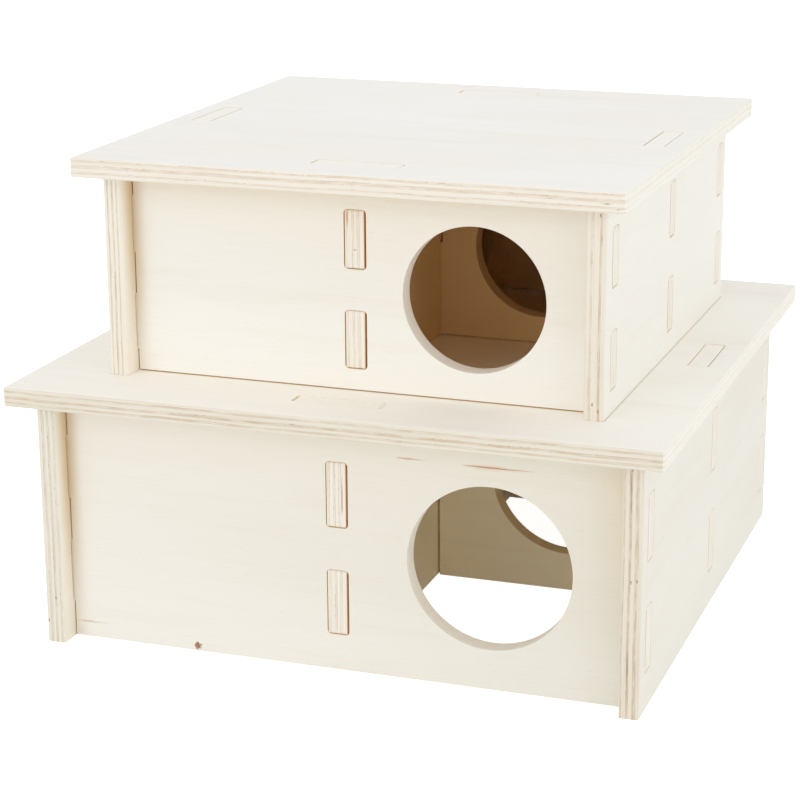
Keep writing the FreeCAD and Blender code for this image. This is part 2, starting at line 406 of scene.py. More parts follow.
CLOUDS = Pattern((0.006, 0.018, 0.3), 0.0, 2.0, 0.3)
RINGS = Pattern((0.009, 0.13, 0.3), 3.0, 4.0, 0.5)
FIBRES = Pattern((0.06, 1.4, 0.3), 7.0, 3.0)
FLECKS = Pattern((0.26, 1.3, 0.3), 11.0, 1.0)
WANDER = Pattern((0.025, 0.025, 0.0), 17.0, 2.0)
MOTTLE = Pattern((0.16, 0.16, 1.1), 23.0, 4.0)
FINE_LINES = Pattern((0.02, 0.02, 2.2), 29.0, 1.0)
BLUSH = Pattern((0.05, 0.05, 0.4), 37.0, 2.0)
BREAKS = Pattern((0.035, 0.035, 1.3), 41.0, 3.0)
TORN = Pattern((0.55, 0.55, 1.1), 31.0, 2.0)
SPECK_PLACES = Pattern((0.04, 0.04, 0.5), 47.0, 1.0)
RAGGED = Pattern((1.7, 1.7, 1.7), 5.0, 3.0)


def new_material(name: str) -> bpy.types.Material:
    """Make a material that uses nodes."""
    material = bpy.data.materials.new(name)
    material.use_nodes = True
    return material


class Sheet:
    """A node sheet, with short words for the nodes that are used here."""

    def __init__(self, tree: bpy.types.NodeTree) -> None:
        """Clear the sheet."""
        self.tree = tree
        self.tree.nodes.clear()

    def add(
        self, kind: str, inputs: dict[str | int, object] | None = None, **settings: object
    ) -> bpy.types.Node:
        """Add a node.

        Args:
            kind: The node's type.
            inputs: A value or another node's output for each named input.
            **settings: The node's own settings.

        Returns:
            The node.
        """
        node = self.tree.nodes.new(kind)
        for name, value in settings.items():
            setattr(node, name, value)
        for key, value in (inputs or {}).items():
            self.give(node, key, value)
        return node

    def give(self, node: bpy.types.Node, key: str | int, value: object) -> None:
        """Give a node's input a value, or link another node's output to it."""
        if isinstance(value, Socket):
            self.tree.links.new(value, node.inputs[key])
        else:
            node.inputs[key].default_value = value

    def math(self, operation: str, first: object, second: object = 0.0, clamp: bool = False) -> Socket:
        """Join two numbers by one operation."""
        node = self.add("ShaderNodeMath", {0: first, 1: second}, operation=operation, use_clamp=clamp)
        return node.outputs[0]

    def blend(self, share: object, first: Socket | Tone, second: Socket | Tone) -> Socket:
        """Blend two colours by a share from 0 to 1."""
        node = self.add("ShaderNodeMix", {"Factor": share}, data_type="RGBA")
        for index, value in ((6, first), (7, second)):
            self.give(node, index, value if isinstance(value, Socket) else (*value, 1.0))
        return node.outputs[2]

    def noise(self, vector: Socket, pattern: Pattern, seed: float) -> Socket:
        """A smooth random pattern, shifted along its first direction by a seed."""
        inputs = {"Vector": vector, "Location": (seed, pattern.shift, 0.0), "Scale": pattern.scale}
        inputs = {
            "Vector": self.add("ShaderNodeMapping", inputs).outputs[0],
            "Scale": 1.0,
            "Detail": pattern.detail,
            "Roughness": 0.55,
            "Distortion": pattern.distortion,
        }
        return self.add("ShaderNodeTexNoise", inputs).outputs["Fac"]

    def span(self, value: Socket, low: float, high: float, start: float = 0.0, end: float = 1.0) -> Socket:
        """Map a range of values softly onto another."""
        inputs = {"Value": value, "From Min": low, "From Max": high, "To Min": start, "To Max": end}
        return self.add("ShaderNodeMapRange", inputs, interpolation_type="SMOOTHSTEP").outputs[0]

    def ramp(self, value: Socket, stops: list[tuple[float, float]]) -> Socket:
        """Map a share through a row of stops of place and level."""
        node = self.add("ShaderNodeValToRGB", {"Fac": value})
        node.color_ramp.interpolation = "EASE"
        elements = node.color_ramp.elements
        while len(elements) < len(stops):
            elements.new(0.5)
        for element, (place, level) in zip(elements, sorted(stops)):
            element.position = place
            element.color = (level, level, level, 1.0)
        return node.outputs["Color"]

    def coordinates(self, origin: Sequence[float], rotation: Triple) -> tuple[Socket, Sequence[Socket]]:
        """Coordinates in mm from an origin: all three together, and one by one."""
        found = self.add("ShaderNodeTexCoord").outputs["Object"]
        inputs = {"Vector": found, "Location": origin, "Rotation": rotation, "Scale": (MM, MM, MM)}
        place = self.add("ShaderNodeMapping", inputs, vector_type="TEXTURE").outputs[0]
        return place, self.add("ShaderNodeSeparateXYZ", {0: place}).outputs


class BoardSheet(Sheet):
    """The node sheet of one board's material, with coordinates on the board in mm.

    They run along the grain, across it, and out from the middle of the thickness to the better face.
    """

    def __init__(self, board: Board, facing: Facing, stand: Stand, seed: float) -> None:
        """Give the board a material and lay its coordinates.

        Args:
            board: The board, already in its place.
            facing: The way that its better face looks.
            stand: Where its house stands.
            seed: Shift of every random pattern along the grain.
        """
        material = new_material(f"{board.name}_plywood")
        super().__init__(material.node_tree)
        board.piece.data.materials.clear()
        board.piece.data.materials.append(material)
        self.board, self.facing, self.seed = board, facing, seed
        left, bottom, right, top = board.outline
        self.centre = (left + right) / 2, (bottom + top) / 2
        self.half = (right - left) / 2 / MM, (top - bottom) / 2 / MM
        turn = math.radians(stand.turn)
        rotation = (0.0, 0.0, turn)
        if facing is not Facing.UP:
            rotation = (math.pi / 2, 0.0, math.radians(facing.value) + turn)
        middle = board.spread(board.near + board.ply / 2, *self.centre)
        self.place, self.split = self.coordinates(stand.matrix() @ middle, rotation)

    def grain(self, pattern: Pattern) -> Socket:
        """A random pattern on the board."""
        return self.noise(self.place, pattern, self.seed)


@dataclass(frozen=True)
class DarkPly:
    """A ply that shows darker on the sawn edges: its middle, half its width and how dark it is."""

    middle: float
    half: float
    depth: float


@dataclass(frozen=True)
class Mark:
    """A knot, mineral streak or void at one place, with its centre and half sizes in mm on the board."""

    centre: Triple
    half: Triple
    colour: Tone
    strength: float = 1.0
    ragged: float = 0.35


@dataclass(frozen=True)
class Shade:
    """Painted light and shade: a soft change to a lighter or darker tone on one face, from where it starts
    to where it is full.
    """

    colour: Tone
    strength: float
    along: tuple[float, float] | None = None
    up: tuple[float, float] | None = None
    up_least: float = 0.0
    side: float = 1.0


@dataclass(frozen=True)
class PlywoodFinish:
    """Pale poplar plywood: quiet veneer on the faces and seven plies on the sawn edges."""

    face: Tone = tone(244, 240, 230)
    # painted shade: the better face darkens towards its far end, where less light falls
    far_end_shade: Tone | None = None
    face_warm: Tone = tone(242, 237, 226)
    inner: Tone = tone(249, 242, 225)
    inner_warm: Tone = tone(246, 236, 214)
    fleck: Tone = tone(206, 178, 142)
    ply_light: Tone = tone(236, 229, 214)
    ply_dark: Tone = tone(218, 204, 182)
    ply_rose: Tone = tone(226, 205, 190)
    tab_light: Tone = tone(243, 238, 227)
    tab_dark: Tone = tone(229, 218, 200)
    # ply tones of a roof's right rim, a wall's bores and its top: where paler than the other edges, painted
    # light where strong light falls
    rim_light: Tone = tone(244, 241, 232)
    rim_dark: Tone = tone(230, 221, 204)
    bore_light: Tone = tone(255, 252, 244)
    bore_dark: Tone = tone(250, 237, 218)
    top_light: Tone = tone(249, 246, 239)
    top_dark: Tone = tone(245, 240, 230)
    # tone of the walls of slots and other cuts away from the ends: sawn wood, set paler on some boards as
    # painted light in the slots' gaps and warmer on others as painted warm shade in them
    slot_wall: Tone = tone(240, 220, 186)
    glue: Tone = tone(176, 146, 108)
    glue_strength: float = 0.75
    void: Tone = tone(128, 98, 66)
    plies: tuple[DarkPly, ...] = (
        DarkPly(0.12, 0.05, 0.7),
        DarkPly(0.42, 0.05, 1.0),
        DarkPly(0.70, 0.06, 0.8),
    )
    marks: tuple[Mark, ...] = ()
    # painted light and shade on the faces
    shades: tuple[Shade, ...] = ()
    seed: float = 0.0
    both_inner: bool = False
    inner_reach: float = EVERYWHERE
    # painted shade on a roof under a house: that house's stand, and half the size of the shaded square
    # inside it
    house_shade_stand: Stand | None = None
    house_shade_half: float = 93.4
    # painted shade line in the gap under the front panel of the house on the roof
    gap_shade: Tone = tone(247, 222, 172)
    # painted contact shadow: where the house's side walls stand, and the tone of the thin shadow along their
    # feet
    contact_reach: float = 103.0
    contact_shadow: Tone = tone(190, 160, 120)
    face_depths: tuple[float, float] = (3.78, 3.96)
    end_depth: float = 1.2
    rim_depth: float = 0.6
    bore_depth: float = 0.5
    glue_half: float = 0.018
    bump_share: float = 0.3
    bump_height: float = 0.1 * MM
    roughness: tuple[float, float] = (0.55, 0.72)
    specular: float = 0.25

    def dress(self, board: Board, facing: Facing, stand: Stand) -> None:
        """Give a board this finish.

        Args:
            board: The board, already in its place.
            facing: The way that its better face looks.
            stand: Where its house stands.
        """
        sheet = BoardSheet(board, facing, stand, self.seed)
        veneer, fibre = self.veneer(sheet)
        edge, rough_edge = self.sawn_edge(sheet)
        on_face = sheet.span(sheet.math("ABSOLUTE", sheet.split[2]), *self.face_depths)
        colour = sheet.blend(on_face, edge, veneer)
        for mark in self.marks:
            colour = self.put_mark(sheet, colour, mark)
        inputs = {"Factor": on_face, 2: rough_edge, 3: fibre}
        height = sheet.add("ShaderNodeMix", inputs, data_type="FLOAT").outputs[0]
        inputs = {"Strength": self.bump_share, "Distance": self.bump_height, "Height": height}
        bump = sheet.add("ShaderNodeBump", inputs)
        inputs = {
            "Base Color": colour,
            "Roughness": sheet.span(height, 0.2, 0.8, *self.roughness),
            "Specular IOR Level": self.specular,
            "Normal": bump.outputs[0],
        }
        shader = sheet.add("ShaderNodeBsdfPrincipled", inputs)
        sheet.add("ShaderNodeOutputMaterial", {"Surface": shader.outputs[0]}).is_active_output = True

    def veneer(self, sheet: BoardSheet) -> tuple[Socket, Socket]:
        """Colour and fibre height of the board's two faces."""
        rings, fibre, flecks = (sheet.grain(pattern) for pattern in (RINGS, FIBRES, FLECKS))
        patch = sheet.span(sheet.grain(CLOUDS), 0.35, 0.7)
        inner = sheet.blend(patch, self.inner, self.inner_warm)
        colour = inner if self.both_inner else self.two_faces(sheet, patch, inner)
        # painted light and shade
        for shade in self.shades:
            colour = self.put_shade(sheet, colour, shade)
        grains = ((rings, 0.48, 0.78, 0.06), (fibre, 0.5, 0.85, 0.07), (flecks, 0.68, 0.8, 0.14))
        for found, low, high, most in grains:
            colour = sheet.blend(sheet.span(found, low, high, 0.0, most), colour, self.fleck)
        return colour, fibre

    def two_faces(self, sheet: BoardSheet, patch: Socket, inner: Socket) -> Socket:
        """Colour of a board whose better face looks out, with painted shade on it where set: darker towards
        its far end, and on a roof under the house that stands on it.

        Args:
            sheet: The board's sheet.
            patch: Share of the warmer clouds.
            inner: Colour of the face that looks in.

        Returns:
            The colour of both faces.
        """
        outer = sheet.blend(patch, self.face, self.face_warm)
        # painted shade: blend the better face towards its darker tone along the grain
        if self.far_end_shade:
            half = sheet.half[0]
            inputs = {"Value": sheet.split[0], "From Min": -half, "From Max": half}
            outer = sheet.blend(sheet.add("ShaderNodeMapRange", inputs).outputs[0], outer, self.far_end_shade)
        # painted shade on a roof under a house
        if self.house_shade_stand:
            outer = self.paint_house_shade(sheet, outer)
        inside = sheet.math("LESS_THAN", sheet.math("ABSOLUTE", sheet.split[0]), self.inner_reach)
        hidden = sheet.math("MULTIPLY", sheet.math("LESS_THAN", sheet.split[2], 0.0), inside)
        return sheet.blend(hidden, outer, inner)

    def paint_house_shade(self, sheet: BoardSheet, colour: Socket) -> Socket:
        """Paint shade on the roof under the house that stands on it: the painted shade of that house's
        inside, a painted shade line in the gap under its front panel, and painted contact shadows along its
        side walls.

        Args:
            sheet: The roof's sheet.
            colour: The roof's colour so far.

        Returns:
            The colour with both.
        """
        stand, half, reach = self.house_shade_stand, self.house_shade_half, self.contact_reach
        rotation = (0.0, 0.0, math.radians(stand.turn))
        _, split = sheet.coordinates((stand.shift_x, stand.shift_y, 0.0), rotation)
        aside = [sheet.math("ABSOLUTE", split[index]) for index in range(2)]
        away = sheet.math("MAXIMUM", *aside)
        # painted contact shadow: a thin darker line on the roof along the outside of each side wall
        beside = sheet.math("ABSOLUTE", sheet.math("SUBTRACT", aside[0], reach))
        contact_shadow_share = sheet.math("MULTIPLY", sheet.span(beside, 0.6, 0.2), 0.45)
        contact_shadow_share = sheet.math("MULTIPLY", contact_shadow_share, sheet.math("LESS_THAN", aside[1], reach))
        colour = sheet.blend(contact_shadow_share, colour, self.contact_shadow)
        # painted shade: the floor inside the house darkens towards the warm inner tone
        colour = sheet.blend(sheet.span(away, half - 3.0, half - 24.0), colour, self.inner_warm)
        # painted shade line: a thin warm band under the front panel's face, in the gap beneath it
        outside, within = sheet.span(away, half + 0.2, half - 0.2), sheet.span(away, half - 2.2, half - 1.6)
        rim = sheet.math("MULTIPLY", outside, within)
        rim = sheet.math("MULTIPLY", rim, sheet.math("LESS_THAN", split[1], 3.0 - half))
        return sheet.blend(rim, colour, self.gap_shade)

    def put_shade(self, sheet: BoardSheet, colour: Socket, shade: Shade) -> Socket:
        """Paint one soft lighter or darker tone over a colour, as painted light and shade."""
        along, up, out = (sheet.split[index] for index in range(3))
        share = sheet.math("GREATER_THAN", sheet.math("MULTIPLY", out, shade.side), 0.0)
        share = sheet.math("MULTIPLY", share, shade.strength)
        if shade.along:
            share = sheet.math("MULTIPLY", share, sheet.span(along, *shade.along))
        if shade.up:
            share = sheet.math("MULTIPLY", share, sheet.span(up, *shade.up, shade.up_least, 1.0))
        return sheet.blend(share, colour, shade.colour)

    def sawn_edge(self, sheet: BoardSheet) -> tuple[Socket, Socket]:
        """Colour and height of the board's sawn edges, where the plies show."""
        wander = sheet.grain(WANDER)
        thickness = sheet.board.ply / MM
        share = sheet.math("ADD", sheet.math("MULTIPLY", sheet.split[2], 1 / thickness), 0.5)
        share = sheet.math("ADD", share, sheet.span(wander, 0.3, 0.7, -0.025, 0.025))
        stops = [(0.0, 0.1)]
        for ply in self.plies:
            stops += [(ply.middle - 1.6 * ply.half, 0.0), (ply.middle - 0.4 * ply.half, ply.depth)]
            stops += [(ply.middle + 0.4 * ply.half, ply.depth), (ply.middle + 1.6 * ply.half, 0.0)]
        stops.append((1.0, 0.1))
        dark = sheet.ramp(share, stops)
        mottle = sheet.grain(MOTTLE)
        strength = sheet.math("MULTIPLY", dark, sheet.span(mottle, 0.3, 0.68, 0.3, 1.0))
        strength = sheet.math("MAXIMUM", strength, sheet.span(sheet.grain(FINE_LINES), 0.45, 0.75, 0.0, 0.3))
        blush = sheet.math("MULTIPLY", sheet.span(sheet.grain(BLUSH), 0.45, 0.65), 0.6)
        light, deep = self.end_tones(sheet)
        colour = sheet.blend(strength, light, sheet.blend(blush, deep, self.ply_rose))
        glue, void = self.glue_lines(sheet, share)
        colour = sheet.blend(glue, colour, self.glue)
        colour = sheet.blend(void, colour, self.void)
        # painted light: the plies show less in these zones
        quiet = sheet.math("MULTIPLY", strength, 0.8)
        for zone, pale, deeper in self.lit_ply_zones(sheet):
            colour = sheet.blend(zone, colour, sheet.blend(quiet, pale, deeper))
        groove = sheet.math("ADD", sheet.math("MULTIPLY", dark, 0.3), void)
        return colour, sheet.math("SUBTRACT", mottle, groove)

    def glue_lines(self, sheet: BoardSheet, share: Socket) -> tuple[Socket, Socket]:
        """Thin broken lines between the plies, and the small torn specks along them."""
        stops, half = [(0.0, 0.0)], self.glue_half
        for ply in self.plies:
            for middle, level in ((ply.middle - ply.half, 0.7), (ply.middle + ply.half, 1.0)):
                stops += [(middle - half, 0.0), (middle, level * ply.depth), (middle + half, 0.0)]
        stops.append((1.0, 0.0))
        line = sheet.ramp(share, [stop for stop in stops if 0.0 <= stop[0] <= 1.0])
        broken = sheet.span(sheet.grain(BREAKS), 0.44, 0.62, 0.1, self.glue_strength)
        torn = sheet.span(sheet.grain(TORN), 0.57, 0.64)
        specks = sheet.math("MULTIPLY", torn, sheet.span(sheet.grain(SPECK_PLACES), 0.46, 0.56))
        void = sheet.math("MULTIPLY", sheet.math("MULTIPLY", specks, line), 0.8)
        return sheet.math("MULTIPLY", line, broken), void

    def end_tones(self, sheet: BoardSheet) -> tuple[Socket, Socket]:
        """Tones of the light and dark plies at the board's ends, and of the walls of its slots."""
        on_end = 0.0
        for side in range(2 if sheet.facing is Facing.UP else 1):
            away = sheet.math("ABSOLUTE", sheet.split[side])
            beyond = sheet.math("GREATER_THAN", away, sheet.half[side] - self.end_depth)
            on_end = sheet.math("MAXIMUM", on_end, beyond)
        # slot walls: wood tone with painted light and shade of the slots' gaps
        light = sheet.blend(on_end, self.slot_wall, self.ply_light)
        return light, sheet.blend(on_end, self.slot_wall, self.ply_dark)

    def lit_ply_zones(self, sheet: BoardSheet) -> list[tuple[Socket, Tone, Tone]]:
        """Zones with their own ply tones: a roof's right rim, or a wall's bores and top; where these tones
        are paler, they are painted light where strong light falls.
        """
        (half_x, half_y), split = sheet.half, sheet.split
        if sheet.facing is Facing.UP:
            on_right = sheet.math("GREATER_THAN", split[0], half_x - self.rim_depth)
            return [(on_right, self.rim_light, self.rim_dark)]
        on_top = sheet.math("GREATER_THAN", split[1], half_y - self.rim_depth)
        zones = [(on_top, self.top_light, self.top_dark)]
        sign = -1 if sheet.facing in (Facing.BACK, Facing.LEFT) else 1
        flat = sheet.add("ShaderNodeCombineXYZ", {0: split[0], 1: split[1]}).outputs[0]
        for across, up, radius in sheet.board.bores:
            centre = (sign * (across - sheet.centre[0]) / MM, (up - sheet.centre[1]) / MM, 0.0)
            away = sheet.add("ShaderNodeVectorMath", {0: flat, 1: centre}, operation="DISTANCE")
            in_bore = sheet.math("LESS_THAN", away.outputs["Value"], radius / MM + self.bore_depth)
            zones.append((in_bore, self.bore_light, self.bore_dark))
        return zones

    def put_mark(self, sheet: BoardSheet, colour: Socket, mark: Mark) -> Socket:
        """Lay one mark over a colour."""
        scale = tuple(1 / half for half in mark.half)
        shift = tuple(-centre / half for centre, half in zip(mark.centre, mark.half))
        inputs = {"Vector": sheet.place, "Location": shift, "Scale": scale}
        local = sheet.add("ShaderNodeMapping", inputs).outputs[0]
        distance = sheet.add("ShaderNodeVectorMath", {0: local}, operation="LENGTH").outputs["Value"]
        torn = sheet.noise(local, RAGGED, self.seed)
        ragged = sheet.math("ADD", distance, sheet.span(torn, 0.2, 0.8, -mark.ragged, mark.ragged))
        return sheet.blend(sheet.span(ragged, 1.0, 0.45, 0.0, mark.strength), colour, mark.colour)


@dataclass
class House:
    """One house of seven plywood boards."""

    word: str
    sizes: HouseSizes
    stand: Stand
    walls_body: Body
    lid_body: Body
    middle_open: OpenEnd
    finishes: dict[str, PlywoodFinish]
    joinery: Joinery = field(default_factory=Joinery)

    def panel_middles(self) -> tuple[float, float, float]:
        """Y of the middle of the front, middle and back panels' thickness."""
        joinery, half = self.joinery, self.sizes.depth / 2
        front = -half + joinery.recess_front + joinery.ply / 2
        back = half - joinery.recess_back - joinery.ply / 2
        return front, (front + back) / 2 + joinery.middle_shift, back

    def tab_rows(self) -> list[tuple[float, float]]:
        """Bottom and top of the two rows of tabs."""
        sizes = self.sizes
        lows = (sizes.tab_base, sizes.tab_base + sizes.tab_pitch)
        return [(low, low + sizes.tab_height) for low in lows]

    def saw_slots(self, board: Board, middle: float) -> None:
        """Saw the two slots that take another panel's tabs."""
        joinery = self.joinery
        half = joinery.ply / 2 + joinery.slot_play
        for low, high in self.tab_rows():
            play = joinery.slot_end_play
            board.saw_out(middle - half, low - play, middle + half, high + play, joinery.slot_corner)

    def saw_ends(self, board: Board, shoulders: tuple[float, float], floor: float, top: float) -> None:
        """Saw both ends of a panel away except for its tabs.

        Args:
            board: The panel.
            shoulders: Where the panel's shoulders are at its two ends.
            floor: The panel's lower edge.
            top: The panel's upper edge, below its top tab.
        """
        left, _, right, _ = board.outline
        rows = self.tab_rows()
        levels = [floor - SPARE, rows[0][0], rows[0][1], rows[1][0], rows[1][1], top + 10 * SPARE]
        for bottom, upper in zip(levels[0::2], levels[1::2]):
            board.saw_out(left - SPARE, bottom, shoulders[0], upper)
            board.saw_out(shoulders[1], bottom, right + SPARE, upper)
        for low, high in rows:
            board.tips += [(left, low), (left, high), (right, low), (right, high)]

    def saw_top(self, board: Board, low: float, high: float, top: float) -> None:
        """Saw the upper edge down on both sides of the tab that goes into the roof.

        Args:
            board: The panel.
            low: Where the sawn part starts.
            high: Where it ends.
            top: The edge that is left.
        """
        half = self.sizes.top_tab / 2
        ceiling = board.outline[3]
        board.saw_out(low, top, -half, ceiling + SPARE)
        board.saw_out(half, top, high, ceiling + SPARE)
        board.tips += [(-half, ceiling), (half, ceiling)]

    def roof(self) -> Board:
        """Square plate that overhangs all round, with a slot a side for the top tabs."""
        joinery, sizes = self.joinery, self.sizes
        half_x = sizes.width / 2 + joinery.overhang
        half_y = sizes.depth / 2 + joinery.overhang
        outline = (-half_x, -half_y, half_x, half_y)
        board = Board(f"{self.word}_roof_board", Axis.Z, sizes.wall_height, joinery.ply, outline)
        board.start()
        board.tips += [(x, y) for x in (-half_x, half_x) for y in (-half_y, half_y)]
        board.round_tips(joinery.roof_corner, 6)
        board.ease(lambda start, end: abs(start.z - end.z) < CLOSE, joinery.edge_round)
        long, thick = sizes.top_tab / 2 + joinery.roof_end_play, joinery.ply / 2 + joinery.roof_play
        side = sizes.width / 2 - joinery.ply / 2
        for x in (-side, side):
            board.saw_out(x - thick, -long, x + thick, long, joinery.slot_corner)
        front, _, back = self.panel_middles()
        for y in (front, back):
            board.saw_out(-long, y - thick, long, y + thick, joinery.slot_corner)
        return board

    def side_wall(self, facing: Facing) -> Board:
        """Full-depth wall with three columns of two slots and a top tab."""
        joinery, sizes = self.joinery, self.sizes
        side = facing.name.lower()
        near = -sizes.width / 2 if facing is Facing.LEFT else sizes.width / 2 - joinery.ply
        half = sizes.depth / 2
        tip = sizes.wall_height + joinery.ply - joinery.tab_sink
        board = Board(f"{self.word}_{side}_wall_board", Axis.X, near, joinery.ply, (-half, 0.0, half, tip))
        board.start()
        board.ease(lambda start, end: abs(start.z - end.z) > 50 * MM, joinery.edge_round)
        for middle in self.panel_middles():
            self.saw_slots(board, middle)
        self.saw_top(board, -half - SPARE, half + SPARE, sizes.wall_height)
        board.round_tips(joinery.tab_corner)
        return board

    def cross_panel(self, word: str, middle: float, with_top_tab: bool) -> Board:
        """Start a panel that runs across the house, with its ends marked for the tabs."""
        joinery, sizes = self.joinery, self.sizes
        reach = sizes.width / 2
        top = sizes.wall_height - joinery.panel_top_gap
        tip = sizes.wall_height + joinery.ply - joinery.tab_sink if with_top_tab else top
        outline = (-reach, joinery.panel_lift, reach, tip)
        board = Board(f"{self.word}_{word}_board", Axis.Y, middle - joinery.ply / 2, joinery.ply, outline)
        board.start()
        shoulder = reach - joinery.ply - joinery.shoulder_gap
        self.saw_ends(board, (-shoulder, shoulder), joinery.panel_lift, top)
        if with_top_tab:
            self.saw_top(board, -shoulder - 0.2 * MM, shoulder + 0.2 * MM, top)
        return board

    def outer_panel(self, facing: Facing) -> Board:
        """Front or back panel: slots for the divider's tabs, and the entry in the front one."""
        sizes = self.sizes
        front, _, back = self.panel_middles()
        is_front = facing is Facing.FRONT
        middle = front if is_front else back
        board = self.cross_panel(f"{facing.name.lower()}_panel", middle, True)
        self.saw_slots(board, 0.0)
        if is_front:
            board.bore(sizes.hole_offset, sizes.hole_height, sizes.hole_radius)
        board.round_tips(self.joinery.tab_corner)
        return board

    def saw_halving(self, board: Board, low: float, high: float, open_end: OpenEnd) -> None:
        """Saw the slot by which a panel is halved over the one that it crosses.

        Args:
            board: The panel.
            low: One side of the slot.
            high: Its other side.
            open_end: The end at which the slot is open.
        """
        joinery, height = self.joinery, self.sizes.wall_height
        if open_end is OpenEnd.ABOVE:
            board.saw_out(low, height / 2 - joinery.halving_end_gap, high, height + SPARE)
        else:
            board.saw_out(low, -SPARE, high, height / 2 + joinery.halving_end_gap)

    def middle_panel(self) -> Board:
        """Cross panel between the chambers: two passages, and a halving slot."""
        joinery, sizes = self.joinery, self.sizes
        board = self.cross_panel("middle_panel", self.panel_middles()[1], False)
        for offset in (-sizes.hole_offset, sizes.hole_offset):
            board.bore(offset, sizes.hole_height, sizes.hole_radius)
        half = joinery.ply / 2 + joinery.slot_play
        self.saw_halving(board, -half, half, self.middle_open)
        board.round_tips(joinery.tab_corner)
        return board

    def divider(self) -> Board:
        """Long divider from front to back panel, with one passage and the other halving slot."""
        joinery, sizes = self.joinery, self.sizes
        front, middle, back = self.panel_middles()
        start, finish = front - joinery.ply / 2, back + joinery.ply / 2
        top = sizes.wall_height - joinery.panel_top_gap
        near = -joinery.ply / 2 - joinery.divider_drift
        outline = (start, joinery.panel_lift, finish, top)
        board = Board(f"{self.word}_divider_board", Axis.X, near, joinery.ply, outline)
        board.start()
        inset = joinery.ply + joinery.shoulder_gap
        self.saw_ends(board, (start + inset, finish - inset), joinery.panel_lift, top)
        board.bore((middle + back) / 2, sizes.hole_height, sizes.hole_radius)
        half = joinery.ply / 2 + joinery.slot_play
        other = OpenEnd.BELOW if self.middle_open is OpenEnd.ABOVE else OpenEnd.ABOVE
        self.saw_halving(board, middle - half, middle + half, other)
        board.round_tips(joinery.tab_corner)
        return board

    def set_up(self, board: Board, node: str, facing: Facing, body: Body, slot: Slot) -> None:
        """Sand a board, put it in its place, dress it and tie it to the frame.

        Args:
            board: The finished cut board.
            node: The node that it stands for, without the house's word.
            facing: The way that its better face looks.
            body: The body that it moves with.
            slot: The record's finish; not used.
        """
        board.sand(self.joinery.sanding)
        board.piece.matrix_world = self.stand.matrix()
        make_active(board.piece)
        bpy.ops.object.transform_apply(location=True, rotation=True, scale=True)
        self.finishes[node].dress(board, facing, self.stand)
        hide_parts(f"{self.word}_{node}")
        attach(board.piece, body.value)
        log.info("%s: %d faces", board.name, len(board.piece.data.polygons))

    def build(self) -> None:
        """Make the seven boards of the house."""
        walls = self.walls_body, Slot.WALL
        for facing in (Facing.LEFT, Facing.RIGHT):
            self.set_up(self.side_wall(facing), f"{facing.name.lower()}_wall", facing, *walls)
        for facing in (Facing.FRONT, Facing.BACK):
            self.set_up(self.outer_panel(facing), f"{facing.name.lower()}_panel", facing, *walls)
        self.set_up(self.middle_panel(), "middle_panel", Facing.FRONT, *walls)
        self.set_up(self.divider(), "divider", Facing.RIGHT, *walls)
        self.set_up(self.roof(), "roof", Facing.UP, self.lid_body, Slot.ROOF)


def pits(*places: Triple, half: float = 0.9) -> tuple[Mark, ...]:
    """Small torn voids in a sawn edge.

    Args:
        *places: Their centres on the board.
        half: Half their length.

    Returns:
        One mark for each.
    """
    return tuple(Mark(place, (half, half, 0.4), tone(140, 108, 74), 0.75, 0.5) for place in places)


def divider_tab_shade(reach: float) -> Shade:
    """Painted shade on the right side of a divider's front tabs, which shows beside the tab in its slot.

    Args:
        reach: Distance from the divider's middle to where its tabs start.

    Returns:
        The painted shade.
    """
    return Shade(tone(226, 178, 122), 0.7, along=(2.0 - reach, -reach))


def wall_front_shade(start: float, full: float, low: float, high: float) -> Shade:
    """Painted shade inside a left wall's front end, in the corner beside the front panel.

    Args:
        start: Where it starts along the grain.
        full: Where it is full.
        low: The height where it is weakest.
        high: The height where it is strongest.

    Returns:
        The painted shade.
    """
    return Shade(tone(214, 188, 144), 0.8, along=(start, full), up=(low, high), up_least=0.25, side=-1.0)


def panel_woods(
    wood: PlywoodFinish, tab_start: float, bore_light: Tone, bore_dark: Tone
) -> tuple[PlywoodFinish, PlywoodFinish]:
    """Finishes of a house's panels with tabs at their ends, with painted shade on the tabs' faces where they
    sit in their slots.

    Args:
        wood: The house's wood.
        tab_start: Where the end tabs' sides start to show, along the grain.
        bore_light: Tone of the inner bores' light plies.
        bore_dark: Tone of their dark plies.

    Returns:
        The finish of the outer panels, and that of the inner ones.
    """
    # painted shade on the face of the right-hand tabs, inside the right wall's slots
    side = Shade(tone(214, 188, 146), 0.8, along=(tab_start, tab_start + 1.5))
    outer = replace(wood, ply_light=wood.tab_light, ply_dark=wood.tab_dark, shades=(side,))
    return outer, replace(outer, both_inner=True, bore_light=bore_light, bore_dark=bore_dark)


